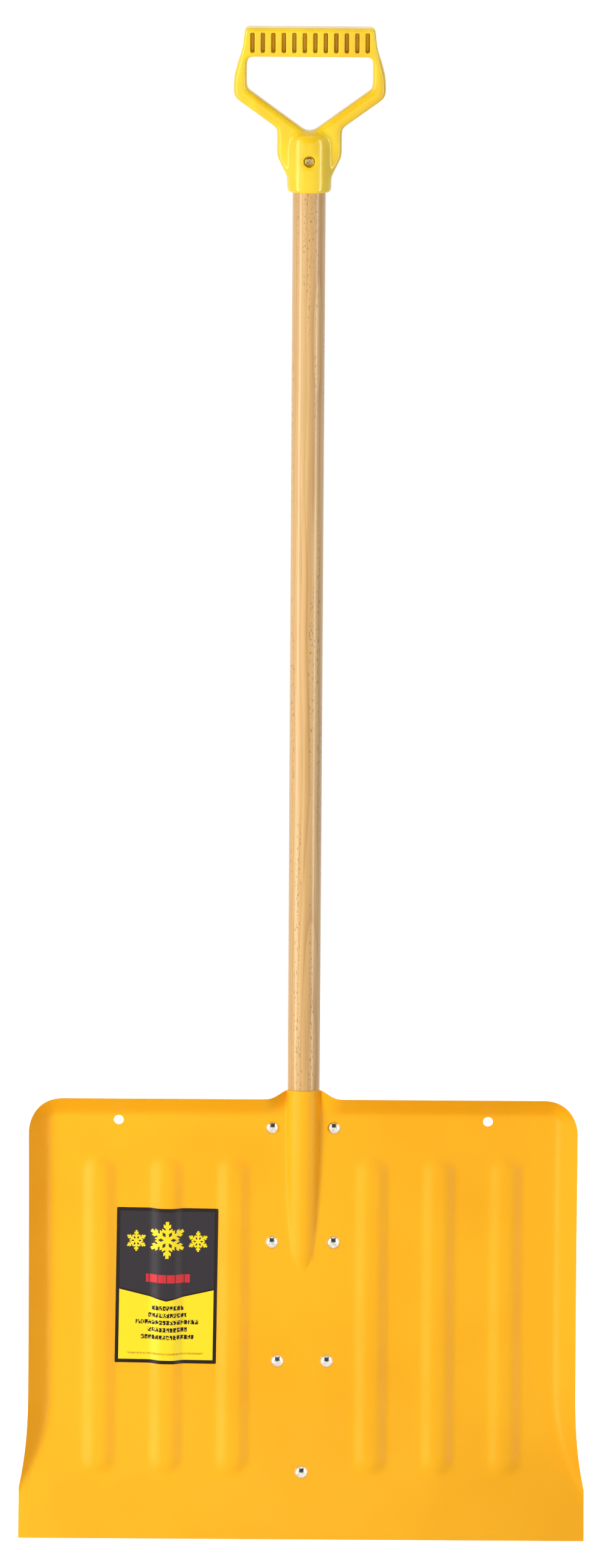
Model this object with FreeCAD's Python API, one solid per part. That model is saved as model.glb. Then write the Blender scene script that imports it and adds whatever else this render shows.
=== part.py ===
"""Snow shovel: a pressed steel scoop, a hardwood shaft and a moulded D grip.

Millimetres.  The origin is the middle of the cutting edge, +Z runs up the
shaft, the hollow of the scoop faces -Y, and +X is to the right of somebody who
faces the hollow.

The two steel pressings are made from nets of control points.  A net is worked
out from the sheet's mid surface, moved half a thickness to each side, and each
side is one smooth cubic surface.
"""

import FreeCAD
import Part
import math
import os

from FreeCAD import Vector

# Blade sheet
blade_width = 457.2
blade_height = 355.6
blade_sheet = 1.2
scoop_radius = 1100.0
blade_corner = 28.0

# Flanges turned forward round the blade
flange_length = 23.5
flange_angle = 48.0
fold_corner = 5.0
bend_width = 4.0
flare_top = 118.0
flare_bottom = 39.0
flare_power = 2.2

# Stiffening ribs, raised towards the front
ribs_per_side = 3
plate_to_first_rib = 7.0
last_rib_to_fold = 41.0
rib_foot = 13.0
rib_crest = 5.5
rib_height = 3.8
rib_bottom = 49.0
rib_top_to_fold = 36.0

# Shaft
shaft_radius = 13.0
shaft_behind_blade = 3.0
socket_depth = 149.0
shaft_length = 914.4
shaft_in_grip = 37.0
tip_taper = 16.0
tip_shrink = 2.2
tip_round = 2.0
top_chamfer = 1.5

# Socket pressed in the blade, and its arch over the top flange
socket_gap = 0.25
swage_end_half = 3.0
arch_flat = 12.0
arch_foot = 29.0

# Back plate
plate_sheet = 1.5
plate_gap = 0.05
plate_beside_rivets = 11.0
plate_beside_low_rivets = 10.0
plate_toe_half = 13.0
plate_below_fold = 4.0
channel_past_low_rivets = 50.0
channel_end_half = 3.0
channel_draft = 1.0
plate_top_corner = 6.0
plate_waist_round = 60.0
plate_shoulder_round = 40.0
plate_toe_round = 12.35

# Rivets
rivet_shank = 2.5
rivet_head = 5.5
rivet_head_height = 3.0
rivet_tail = 4.2
rivet_tail_height = 1.8
rivet_hole_gap = 0.1
rivet_seat_gap = 0.04
rivets_beside_socket = 11.0
low_rivets_half = 20.0
top_rivets_below_fold = 12.0
mid_rivets_above_tip = 27.4
low_rivets_above_toe = 87.0
toe_rivet_height = 51.6

# Hang holes
hang_hole_radius = 4.0
hang_hole_spacing = 298.0
hang_hole_below_fold = 6.0

# D grip
grip_height = 128.5
grip_top_half = 50.6
grip_brow_half = 52.4
grip_brow_drop = 15.0
grip_side_half = 59.3
grip_side_drop = 38.0
grip_elbow_drop = 54.5
arm_width = 10.8
post_width = 9.7
bar_height = 22.5
bar_half_depth = 12.5
arm_half_depth = 8.5
wing_half_depth = 6.5
wing_reach = 7.9
wing_straight = 22.0
grip_round = 2.8
depth_bend = 14.0
grip_top_corner = 3.2
grip_brow_round = 20.0
grip_elbow_round = 8.0
grip_side_swell = 0.6
opening_corner = 4.5
opening_elbow_rise = 7.0
opening_elbow_round = 5.0
vertex_round = 9.0
vertex_drop = 83.0
wing_top_round = 4.0
wing_end_round = 8.0
wing_taper = 18.0
wing_root_round = 6.0
rim_to_rounding = 12.0
hub_wall = 3.9
hub_length = 47.0
hub_round = 8.0
bore_gap = 0.1
bore_end_gap = 0.5
bore_overrun = 1.0

# Cored slots in the grip's hand bar
slot_count = 12
slot_pitch = 8.17
slot_width = 3.3
slot_height = 15.6
slot_top_wall = 3.6
slot_web = 9.0

# Screws
screw_radius = 2.1
screw_length = 22.0
screw_tip = 3.0
screw_head = 3.6
screw_head_height = 2.2
screw_head_round = 1.2
screw_point = 0.3
screw_gap = 0.05
recess_reach = 2.3
recess_width = 1.1
recess_depth = 1.5
counterbore_radius = 4.5
counterbore_depth = 2.8
grip_screw_above_rim = 25.0
socket_screw_above_tip = 58.0

# Label
label_width = 82.0
label_height = 125.0
label_centre_height = 199.1
label_tilt = 0.7
label_corner = 1.0
label_thickness = 0.15
label_gap = 0.03

# Net spacing
net_row = 8.0
fine_row = 4.0
arch_step = 15.0
net_margin = 8.0
flat_shares = (0.12, 0.3, 0.55, 0.8)

# Sizes that follow
flange_run = flange_length * math.cos(math.radians(flange_angle))
flange_slope = math.tan(math.radians(flange_angle))
half_width = blade_width / 2
fold_half = half_width - flange_length
fold_height = blade_height - flange_run
flange_reach = fold_half + flange_run
tip_height = blade_height - socket_depth
tip_radius = shaft_radius - tip_shrink
shaft_top = tip_height + shaft_length
rib_top = fold_height - rib_top_to_fold
swage_radius = shaft_radius + socket_gap + blade_sheet / 2
channel_radius = shaft_radius + socket_gap + plate_sheet / 2
upper_rivets_half = swage_radius + rivets_beside_socket
plate_top_half = upper_rivets_half + plate_beside_rivets
plate_low_half = low_rivets_half + plate_beside_low_rivets
first_rib = plate_top_half + plate_to_first_rib + rib_foot
rib_pitch = (fold_half - last_rib_to_fold - first_rib) / (ribs_per_side - 1)
rib_centres = [first_rib + rib_pitch * i for i in range(ribs_per_side)]
top_rivets_height = fold_height - top_rivets_below_fold
mid_rivets_height = tip_height + mid_rivets_above_tip
low_rivets_height = toe_rivet_height + low_rivets_above_toe
channel_end = low_rivets_height - channel_past_low_rivets
hang_hole_height = fold_height - hang_hole_below_fold
plate_setback = blade_sheet / 2 + plate_gap + plate_sheet / 2
hub_radius = shaft_radius + bore_gap + hub_wall
wing_half = hub_radius + wing_reach
grip_bottom = shaft_top - shaft_in_grip
grip_top = grip_bottom + grip_height
opening_half = grip_side_half - post_width
opening_top = grip_top - bar_height
opening_elbow = grip_top - grip_elbow_drop + opening_elbow_rise
opening_vertex = grip_top - vertex_drop


def ramp(value, start, end):
    """0 before start, 1 after end, smooth between."""
    share = min(max((value - start) / (end - start), 0.0), 1.0)
    return share * share * (3 - 2 * share)


# ---- The scoop's shape

def scoop_angle(z):
    """Lean of the sheet from upright at height z, in radians."""
    return math.asin((blade_height - z) / scoop_radius)


def scoop_y(z):
    """The flat sheet's mid surface, which is at y = 0 at the cutting edge."""
    return scoop_radius * (math.cos(scoop_angle(z)) - math.cos(scoop_angle(0)))


def scoop_normal(z):
    """Out of the hollow side of the sheet."""
    return Vector(0, -math.cos(scoop_angle(z)), math.sin(scoop_angle(z)))


shaft_y = scoop_y(blade_height) + shaft_behind_blade


def fold_half_at(z):
    """Half width of the side folds, which swing out to the sheet's corners."""
    share = min(max((flare_top - z) / (flare_top - flare_bottom), 0.0), 1.2)
    return fold_half + flange_length * share ** flare_power


def edge_half_at(z):
    """Half width of the folded blade."""
    turned = max(half_width - fold_half_at(z), 0.0)
    return half_width - turned + turned * math.cos(math.radians(flange_angle))


def flange_rise(x, z):
    """How far the flange stands off the flat sheet."""
    across = abs(x) - fold_half_at(z) + fold_corner
    up = z - fold_height + fold_corner
    past = math.hypot(max(across, 0), max(up, 0)) + min(max(across, up), 0) - fold_corner
    over_shaft = 1 - ramp(abs(x), arch_flat, arch_foot)
    if past <= -bend_width / 2:
        return 0.0
    if past < bend_width / 2:
        rise = flange_slope * (past + bend_width / 2) ** 2 / (2 * bend_width)
    else:
        rise = flange_slope * past
    return rise * (1 - over_shaft)


def rib_rise(x, z):
    """Height of the round-ended ribs."""
    core_bottom = rib_bottom + rib_foot
    core_top = rib_top - rib_foot
    beyond = max(core_bottom - z, z - core_top, 0.0)
    near = min(math.hypot(abs(x) - centre, beyond) for centre in rib_centres)
    share = min(max((rib_foot - near) / (rib_foot - rib_crest), 0.0), 1.0)
    return rib_height * share


def shaft_radius_at(z):
    """Radius of the wood, which narrows a little towards its tip."""
    share = min(max((z - tip_height) / tip_taper, 0.0), 1.0)
    return tip_radius + tip_shrink * share


def swage_point(z, share):
    """Across and out from the flat sheet: the socket's front, from crest to foot.

    The socket is round about the shaft.  It narrows downwards, because the sheet
    comes forward until it covers the shaft's tip by itself.
    """
    radius = shaft_radius_at(z) + swage_radius - shaft_radius
    depth = shaft_y - scoop_y(z)
    turn = math.acos(min(depth / radius, 1.0)) * share
    rise = max(radius * math.cos(turn) - depth, 0.0)
    across = max(radius * math.sin(turn), swage_end_half * share)
    return across, rise


# ---- Smooth sheets from nets of control points

def net_surface(net):
    rows, columns = len(net), len(net[0])
    surface = Part.BSplineSurface()
    surface.buildFromPolesMultsKnots(
        net,
        [4] + [1] * (rows - 4) + [4],
        [4] + [1] * (columns - 4) + [4],
        list(range(rows - 2)),
        list(range(columns - 2)),
        False,
        False,
        3,
        3,
    )
    return surface


def moved_net(net, distance):
    """The net moved along its own normals, towards the front."""
    rows, columns = len(net), len(net[0])
    result = []
    for i in range(rows):
        line = []
        for j in range(columns):
            up = net[min(i + 1, rows - 1)][j] - net[max(i - 1, 0)][j]
            across = net[i][min(j + 1, columns - 1)] - net[i][max(j - 1, 0)]
            normal = across.cross(up)
            normal.normalize()
            line.append(net[i][j] - normal * distance)
        result.append(line)
    return result


def sheet_solid(net, front, back):
    """A sheet between two distances in front of and behind a net."""
    faces = []
    sides = []
    for distance in (front, -back):
        surface = net_surface(moved_net(net, -distance))
        faces.append(surface.toShape())
        first_u, last_u, first_v, last_v = surface.bounds()
        sides.append([
            surface.uIso(first_u).toShape(),
            surface.uIso(last_u).toShape(),
            surface.vIso(first_v).toShape(),
            surface.vIso(last_v).toShape(),
        ])
    for front_edge, back_edge in zip(*sides):
        faces.append(Part.makeRuledSurface(front_edge, back_edge))
    shell = Part.makeShell(faces)
    shell.sewShape()
    solid = Part.makeSolid(shell)
    if solid.Volume < 0:
        solid.reverse()
    return solid


def heights(breaks):
    """Row heights: breaks holds (height, spacing above it) and ends with a height."""
    rows = []
    for (start, spacing), (end, _) in zip(breaks, breaks[1:]):
        count = max(1, round((end - start) / spacing))
        rows += [start + (end - start) * i / count for i in range(count)]
    return rows + [breaks[-1][0]]


# ---- Outlines with rounded corners

def rounded_outline(corners):
    """A closed wire in the XZ plane through (x, z, radius) corners."""
    edges = []
    ends = []
    for i, (x, z, radius) in enumerate(corners):
        here = Vector(x, 0, z)
        before = Vector(corners[i - 1][0], 0, corners[i - 1][1])
        after = Vector(corners[(i + 1) % len(corners)][0], 0, corners[(i + 1) % len(corners)][1])
        inward = (before - here).normalize()
        outward = (after - here).normalize()
        if radius == 0:
            ends.append((here, None, here))
            continue
        half_turn = inward.getAngle(outward) / 2
        reach = radius / math.tan(half_turn)
        middle = here + (inward + outward).normalize() * radius * (1 / math.sin(half_turn) - 1)
        ends.append((here + inward * reach, middle, here + outward * reach))
    for i, (start, middle, end) in enumerate(ends):
        if middle is not None:
            edges.append(Part.Arc(start, middle, end).toShape())
        following = ends[(i + 1) % len(ends)][0]
        if end.distanceToPoint(following) > 1e-6:
            edges.append(Part.LineSegment(end, following).toShape())
    return Part.Wire(edges)


def mirrored(corners):
    """Corners of the right half, listed downwards, closed by their mirror image."""
    return corners + [(-x, z, radius) for x, z, radius in reversed(corners) if x > 0]


def prism(wire, start_y, end_y):
    """The face inside an XZ wire, run from one y to another."""
    face = Part.Face(wire)
    face.translate(Vector(0, start_y, 0))
    return face.extrude(Vector(0, end_y - start_y, 0))


# ---- Blade

def half_line(z):
    """Across the right half at height z: x, and how far the socket stands out."""
    steps = round(90 / arch_step)
    line = [swage_point(z, i / steps) for i in range(steps + 1)]
    foot = line[-1][0]
    clear = first_rib - rib_foot - fine_row - foot
    line += [(foot + clear * share, 0) for share in flat_shares]
    slope_middle = (rib_foot + rib_crest) / 2
    offsets = (rib_foot + fine_row, rib_foot, slope_middle, rib_crest)
    for centre in rib_centres:
        line += [(centre - offset, 0) for offset in offsets]
        line.append((centre, 0))
        line += [(centre + offset, 0) for offset in reversed(offsets)]
        if centre != rib_centres[-1]:
            line.append((centre + rib_pitch / 2, 0))
    start = line[-1][0]
    end = half_width + net_margin
    count = round((end - start) / fine_row)
    return line + [(start + (end - start) * i / count, 0) for i in range(1, count + 1)]


def blade_rows():
    return heights([
        (-net_margin, net_row),
        (rib_bottom - fine_row, fine_row),
        (rib_bottom + 2 * rib_foot, net_row),
        (tip_height - net_row, fine_row),
        (tip_height + 2 * tip_taper, net_row),
        (rib_top - 2 * rib_foot, fine_row),
        (blade_height + 2 * net_margin, 0),
    ])


def blade_net(rows, low_x=-math.inf, high_x=math.inf):
    """Control points of the blade's mid surface, between two places across it."""
    net = []
    for z in rows:
        normal = scoop_normal(z)
        half = half_line(z)
        line = []
        for x, out in [(-x, out) for x, out in reversed(half[1:])] + half:
            if low_x < x < high_x:
                flat = Vector(x, scoop_y(z) - out, z)
                line.append(flat + normal * (rib_rise(x, z) + flange_rise(x, z)))
        net.append(line)
    return net


def blade_outline():
    """The trimmed edge: cutting edge, flared sides, round corners and the arch."""
    side = [Vector(edge_half_at(z), 0, z) for z in heights([(flare_bottom, 10), (flare_top, 0)])]
    socket_rise = swage_radius - shaft_behind_blade
    arch_rise = math.sqrt(flange_length ** 2 - socket_rise ** 2) - flange_run
    arch = []
    for i in range(17):
        x = arch_foot * (1 - i / 8)
        rise = arch_rise * (1 - ramp(abs(x), arch_flat / 2, arch_foot))
        arch.append(Vector(x, 0, blade_height + rise))
    corner_z = blade_height - blade_corner
    middle = blade_corner * math.sqrt(0.5)
    centre_x = flange_reach - blade_corner
    right_flare = Part.BSplineCurve()
    right_flare.interpolate(side)
    left_flare = Part.BSplineCurve()
    left_flare.interpolate([Vector(-p.x, 0, p.z) for p in reversed(side)])
    over_shaft = Part.BSplineCurve()
    over_shaft.interpolate(arch)
    pieces = [
        Part.LineSegment(Vector(-half_width, 0, 0), Vector(half_width, 0, 0)),
        Part.LineSegment(Vector(half_width, 0, 0), side[0]),
        right_flare,
        Part.LineSegment(side[-1], Vector(flange_reach, 0, corner_z)),
        Part.Arc(
            Vector(flange_reach, 0, corner_z),
            Vector(centre_x + middle, 0, corner_z + middle),
            Vector(centre_x, 0, blade_height),
        ),
        Part.LineSegment(Vector(centre_x, 0, blade_height), arch[0]),
        over_shaft,
        Part.LineSegment(arch[-1], Vector(-centre_x, 0, blade_height)),
        Part.Arc(
            Vector(-centre_x, 0, blade_height),
            Vector(-centre_x - middle, 0, corner_z + middle),
            Vector(-flange_reach, 0, corner_z),
        ),
        Part.LineSegment(Vector(-flange_reach, 0, corner_z), Vector(-side[-1].x, 0, flare_top)),
        left_flare,
        Part.LineSegment(Vector(-half_width, 0, flare_bottom), Vector(-half_width, 0, 0)),
    ]
    return Part.Wire([piece.toShape() for piece in pieces])


def rivet_places():
    """Each rivet's name and the point where its axis meets the mid surface."""
    pairs = [
        ("top", upper_rivets_half, top_rivets_height),
        ("mid", upper_rivets_half, mid_rivets_height),
        ("low", low_rivets_half, low_rivets_height),
    ]
    places = {}
    for row, half, height in pairs:
        places[f"rivet_{row}_left"] = Vector(-half, scoop_y(height), height)
        places[f"rivet_{row}_right"] = Vector(half, scoop_y(height), height)
    places["rivet_toe"] = Vector(0, scoop_y(toe_rivet_height), toe_rivet_height)
    return places


def rivet_bore(place):
    normal = scoop_normal(place.z)
    reach = 2 * (blade_sheet + plate_sheet)
    return Part.makeCylinder(
        rivet_shank + rivet_hole_gap, 2 * reach, place - normal * reach, normal
    )


def make_blade():
    sheet = sheet_solid(blade_net(blade_rows()), blade_sheet / 2, blade_sheet / 2)
    depth = blade_height / 2
    blade = sheet.common(prism(blade_outline(), shaft_y - depth, shaft_y + depth))
    bores = [rivet_bore(place) for place in rivet_places().values()]
    for side in (-1, 1):
        start = Vector(side * hang_hole_spacing / 2, shaft_y - depth, hang_hole_height)
        bores.append(Part.makeCylinder(hang_hole_radius, 2 * depth, start, Vector(0, 1, 0)))
    return blade.cut(bores)


# ---- Back plate

def channel_share(z):
    """1 along the shaft, falling to 0 where the tongue goes flat."""
    return ramp(z, channel_end, tip_height)


def plate_line(z):
    """One row of the back plate's net."""
    share = channel_share(z)
    radius = channel_end_half + (channel_radius - channel_end_half) * math.sqrt(share)
    seat = scoop_y(z) + plate_setback / math.cos(scoop_angle(z))
    side_depth = (shaft_y - seat) * share ** 2
    arc_depth = channel_radius * math.sqrt(share)
    inflate = 3 / (2 + math.cos(math.radians(arch_step)))
    half = []
    for i in range(round(90 / arch_step) + 1):
        turn = math.radians(90 - arch_step * i)
        depth = side_depth + arc_depth * inflate * math.sin(turn)
        half.append((radius * inflate * math.cos(turn), depth))
    foot = half[-1][0] + channel_draft
    half.append((foot - channel_draft / 2, side_depth / 2))
    half.append((foot, 0))
    outer = plate_top_half + net_margin
    half += [(foot + (outer - foot) * part, 0) for part in flat_shares]
    half.append((outer, 0))
    line = [(-x, depth) for x, depth in reversed(half[1:])] + half
    return [Vector(x, seat + depth, z) for x, depth in line]


def make_back_plate():
    top = fold_height - plate_below_fold
    toe = toe_rivet_height - plate_toe_half
    net = [plate_line(z) for z in heights([(toe - net_margin, net_row), (top + net_margin, 0)])]
    sheet = sheet_solid(net, plate_sheet / 2, plate_sheet / 2)
    waist = (mid_rivets_height + low_rivets_height) / 2
    outline = rounded_outline(mirrored([
        (plate_top_half, top, plate_top_corner),
        (plate_top_half, waist, plate_waist_round),
        (plate_low_half, low_rivets_height, plate_shoulder_round),
        (plate_toe_half, toe, plate_toe_round),
    ]))
    depth = blade_height / 2
    plate = sheet.common(prism(outline, shaft_y - depth, shaft_y + depth))
    bores = [rivet_bore(place) for place in rivet_places().values()]
    bores.append(screw_bore(socket_screw_seat(), Vector(0, -1, 0)))
    return plate.cut(bores)


# ---- Rivets

def make_rivet(place):
    """Domed head in front, shank through both sheets, set tail behind."""
    front = blade_sheet / 2 + rivet_seat_gap
    rear = -(blade_sheet / 2 + plate_gap + plate_sheet + rivet_seat_gap)
    dome = (rivet_head ** 2 + rivet_head_height ** 2) / (2 * rivet_head_height)
    dome_side = dome - rivet_head_height
    dome_turn = math.atan2(rivet_head, dome_side) / 2
    tail = (rivet_tail ** 2 + rivet_tail_height ** 2) / (2 * rivet_tail_height)
    tail_side = tail - rivet_tail_height
    tail_turn = math.atan2(rivet_tail, tail_side) / 2
    points = {
        "head_top": Vector(0, 0, front + rivet_head_height),
        "head_arc": Vector(dome * math.sin(dome_turn), 0, front - dome_side + dome * math.cos(dome_turn)),
        "head_rim": Vector(rivet_head, 0, front),
        "neck_front": Vector(rivet_shank, 0, front),
        "neck_rear": Vector(rivet_shank, 0, rear),
        "tail_rim": Vector(rivet_tail, 0, rear),
        "tail_arc": Vector(tail * math.sin(tail_turn), 0, rear + tail_side - tail * math.cos(tail_turn)),
        "tail_end": Vector(0, 0, rear - rivet_tail_height),
    }
    edges = [
        Part.Arc(points["head_top"], points["head_arc"], points["head_rim"]).toShape(),
        Part.LineSegment(points["head_rim"], points["neck_front"]).toShape(),
        Part.LineSegment(points["neck_front"], points["neck_rear"]).toShape(),
        Part.LineSegment(points["neck_rear"], points["tail_rim"]).toShape(),
        Part.Arc(points["tail_rim"], points["tail_arc"], points["tail_end"]).toShape(),
        Part.LineSegment(points["tail_end"], points["head_top"]).toShape(),
    ]
    rivet = Part.Face(Part.Wire(edges)).revolve(Vector(0, 0, 0), Vector(0, 0, 1), 360)
    turn = FreeCAD.Rotation(Vector(0, 0, 1), scoop_normal(place.z))
    rivet.Placement = FreeCAD.Placement(place, turn)
    return rivet


# ---- Screws

def screw_bore(seat, inward):
    """Clearance for a screw's shank."""
    return Part.makeCylinder(
        screw_radius + screw_gap, screw_length + screw_tip + bore_overrun, seat - inward, inward
    )


def make_screw(seat, inward):
    """Pan head with a cross recess, shank and point."""
    head = Part.makeCylinder(screw_head, screw_head_height)
    top_edges = [edge for edge in head.Edges if edge.BoundBox.ZMin > screw_head_height / 2]
    head = head.makeFillet(screw_head_round, top_edges)
    floor = screw_head_height - recess_depth
    slots = []
    for length, width in ((recess_reach, recess_width), (recess_width, recess_reach)):
        corner = Vector(-length, -width, floor)
        slots.append(Part.makeBox(2 * length, 2 * width, 2 * recess_depth, corner))
    head = head.cut(slots[0].fuse(slots[1]).removeSplitter())
    neck_length = screw_length - screw_tip
    neck = Part.makeCylinder(screw_radius, neck_length, Vector(0, 0, -neck_length))
    point = Part.makeCone(screw_point, screw_radius, screw_tip, Vector(0, 0, -screw_length))
    screw = head.fuse([neck, point]).removeSplitter()
    turn = FreeCAD.Rotation(Vector(0, 0, -1), inward)
    screw.Placement = FreeCAD.Placement(seat, turn)
    return screw


def grip_screw_seat():
    height = grip_bottom + grip_screw_above_rim
    return Vector(0, shaft_y - hub_radius + counterbore_depth, height)


def socket_screw_seat():
    rear = shaft_y + channel_radius + plate_sheet / 2 + screw_gap
    return Vector(0, rear, tip_height + socket_screw_above_tip)


# ---- Shaft

def make_shaft():
    """Round hardwood with a tapered, eased tip and a chamfered top."""
    axis = Vector(0, shaft_y, 0)
    profile = [
        Vector(0, 0, tip_height),
        Vector(tip_radius - tip_round, 0, tip_height),
        Vector(shaft_radius_at(tip_height + tip_round), 0, tip_height + tip_round),
        Vector(shaft_radius, 0, tip_height + tip_taper),
        Vector(shaft_radius, 0, shaft_top - top_chamfer),
        Vector(shaft_radius - top_chamfer, 0, shaft_top),
        Vector(0, 0, shaft_top),
        Vector(0, 0, tip_height),
    ]
    shaft = Part.Face(Part.makePolygon(profile)).revolve(Vector(0, 0, 0), Vector(0, 0, 1), 360)
    shaft.translate(axis)
    bores = [
        screw_bore(grip_screw_seat(), Vector(0, 1, 0)),
        screw_bore(socket_screw_seat(), Vector(0, -1, 0)),
    ]
    return shaft.cut(bores)


# ---- D grip

def grip_outline():
    """Outside of the D with the wings beside the hub."""
    slope = (opening_elbow - opening_vertex) / opening_half
    arm_drop = arm_width * math.hypot(1, slope)
    arm_at_side = opening_elbow + slope * (grip_side_half - opening_half) - arm_drop
    arm_at_wing = arm_at_side - slope * (grip_side_half - wing_half)
    wing_end = arm_at_wing - wing_straight
    inside_hub = hub_radius - 1
    return mirrored([
        (grip_top_half, grip_top, grip_top_corner),
        (grip_brow_half, grip_top - grip_brow_drop, grip_brow_round),
        (grip_side_half - grip_side_swell, grip_top - grip_side_drop, grip_brow_round),
        (grip_side_half, arm_at_side, grip_elbow_round),
        (wing_half, arm_at_wing, wing_top_round),
        (wing_half, wing_end, wing_end_round),
        (inside_hub, wing_end - wing_taper, wing_root_round),
    ])


def grip_opening():
    """The finger opening: straight under the bar and a V below."""
    return rounded_outline(mirrored([
        (opening_half, opening_top, opening_corner),
        (opening_half, opening_elbow, opening_elbow_round),
        (0, opening_vertex, vertex_round),
    ]))


def grip_side_profile():
    """Half depths from the bar down to the wings, run across the grip."""
    wire = rounded_outline(mirrored([
        (bar_half_depth, grip_top + depth_bend, 0),
        (bar_half_depth, opening_top, depth_bend),
        (arm_half_depth, opening_top - depth_bend, depth_bend),
        (arm_half_depth, opening_vertex + 4, depth_bend),
        (wing_half_depth, opening_vertex - 12, depth_bend),
        (wing_half_depth, grip_bottom - depth_bend, 0),
    ]))
    wire.rotate(Vector(0, 0, 0), Vector(0, 0, 1), 90)
    face = Part.Face(wire)
    face.translate(Vector(-2 * grip_side_half, shaft_y, 0))
    return face.extrude(Vector(4 * grip_side_half, 0, 0))


def is_sharp(edge, shape):
    """Whether the two faces beside an edge meet at a corner."""
    middle = edge.valueAt((edge.FirstParameter + edge.LastParameter) / 2)
    normals = []
    for face in shape.Faces:
        if any(edge.isSame(other) for other in face.Edges):
            normals.append(face.normalAt(*face.Surface.parameter(middle)))
    return len(normals) == 2 and normals[0].getAngle(normals[1]) > 0.6


def grip_frame():
    """The hand bar, posts, arms and wings, with their edges rounded."""
    reach = 2 * bar_half_depth
    outside = prism(rounded_outline(grip_outline()), shaft_y - reach, shaft_y + reach)
    opening = prism(grip_opening(), shaft_y - reach, shaft_y + reach)
    frame = outside.common(grip_side_profile()).cut(opening)
    above = grip_bottom + rim_to_rounding
    edges = [edge for edge in frame.Edges if edge.BoundBox.ZMin > above and is_sharp(edge, frame)]
    return frame.makeFillet(grip_round, edges)


def slot_cores():
    """Blind slots from the front and from the back, with a web between them."""
    length = 2 * bar_half_depth
    low = grip_top - slot_top_wall - slot_height
    cores = []
    for i in range(slot_count):
        x = (i - (slot_count - 1) / 2) * slot_pitch - slot_width / 2
        for start in (-slot_web / 2 - length, slot_web / 2):
            corner = Vector(x, shaft_y + start, low)
            cores.append(Part.makeBox(slot_width, length, slot_height, corner))
    return cores


def make_grip():
    hub = Part.makeCylinder(hub_radius, hub_length, Vector(0, shaft_y, grip_bottom))
    hub = hub.makeFillet(hub_round, [edge for edge in hub.Edges if edge.BoundBox.ZMin > grip_bottom + 1])
    bore_depth = shaft_top + bore_end_gap - grip_bottom
    seat = grip_screw_seat()
    cuts = slot_cores()
    rim = Vector(0, shaft_y, grip_bottom - bore_overrun)
    cuts.append(Part.makeCylinder(shaft_radius + bore_gap, bore_depth + bore_overrun, rim))
    cuts.append(Part.makeCylinder(counterbore_radius, hub_radius, seat, Vector(0, -1, 0)))
    cuts.append(screw_bore(seat, Vector(0, 1, 0)))
    return grip_frame().fuse(hub).cut(cuts).removeSplitter()


# ---- Label

def make_label():
    """Printed sheet that follows the blade's front over the middle left rib."""
    centre = -rib_centres[1]
    reach = label_width / 2 + 4 * fine_row
    low = label_centre_height - label_height / 2
    high = label_centre_height + label_height / 2
    rows = [z for z in blade_rows() if low - 4 * net_row < z < high + 4 * net_row]
    start = blade_sheet / 2 + label_gap
    net = blade_net(rows, centre - reach, centre + reach)
    sheet = sheet_solid(net, start + label_thickness, -start)
    corners = [
        (centre - label_width / 2, low, label_corner),
        (centre - label_width / 2, high, label_corner),
        (centre + label_width / 2, high, label_corner),
        (centre + label_width / 2, low, label_corner),
    ]
    outline = rounded_outline(corners)
    outline.rotate(Vector(centre, 0, label_centre_height), Vector(0, 1, 0), label_tilt)
    return sheet.common(prism(outline, shaft_y - blade_height / 2, shaft_y))


def build():
    shapes = {
        "blade": make_blade(),
        "back_plate": make_back_plate(),
        "handle_shaft": make_shaft(),
        "d_grip": make_grip(),
        "grip_screw": make_screw(grip_screw_seat(), Vector(0, 1, 0)),
        "handle_screw": make_screw(socket_screw_seat(), Vector(0, -1, 0)),
        "label": make_label(),
    }
    for name, place in rivet_places().items():
        shapes[name] = make_rivet(place)
    return shapes


os.makedirs("parts", exist_ok=True)
for node, shape in build().items():
    solid = shape.Solids[0] if len(shape.Solids) == 1 else shape
    print(f"{node}: {len(shape.Solids)} solid, {solid.Volume:.0f} mm3, valid {solid.isValid()}")
    solid.exportStep(f"parts/{node}.step")
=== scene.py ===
"""Snow shovel: enamelled steel scoop, lacquered hardwood shaft, moulded D grip.

Metres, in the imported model's own frame: the origin is the middle of the cutting
edge, +Z runs up the shaft and the hollow of the scoop faces -Y.
"""

import math

import bpy
import numpy as np
from bpy.props import FloatProperty, FloatVectorProperty, IntProperty, PointerProperty
from mathutils import Matrix, Vector


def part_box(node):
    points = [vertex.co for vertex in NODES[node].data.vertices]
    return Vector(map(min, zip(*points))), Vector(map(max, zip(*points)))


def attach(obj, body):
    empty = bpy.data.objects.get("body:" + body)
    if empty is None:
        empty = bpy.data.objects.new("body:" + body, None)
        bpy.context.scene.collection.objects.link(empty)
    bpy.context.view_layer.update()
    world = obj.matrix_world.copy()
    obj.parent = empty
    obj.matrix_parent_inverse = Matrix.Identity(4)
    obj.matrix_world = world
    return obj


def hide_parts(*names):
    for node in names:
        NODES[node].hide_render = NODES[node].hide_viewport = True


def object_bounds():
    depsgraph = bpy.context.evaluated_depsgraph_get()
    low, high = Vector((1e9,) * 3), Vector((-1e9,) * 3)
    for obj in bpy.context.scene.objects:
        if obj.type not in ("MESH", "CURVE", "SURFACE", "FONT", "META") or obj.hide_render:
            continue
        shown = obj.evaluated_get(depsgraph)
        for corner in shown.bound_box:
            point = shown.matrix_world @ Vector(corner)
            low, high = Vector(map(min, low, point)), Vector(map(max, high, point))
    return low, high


bl_info = {
    "name": "Snow Shovel",
    "version": (1, 0, 0),
    "blender": (4, 5, 0),
    "location": "View3D > Sidebar > Shovel",
    "description": "Builds the finishes and the studio of a steel snow shovel",
    "category": "Object",
}

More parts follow.
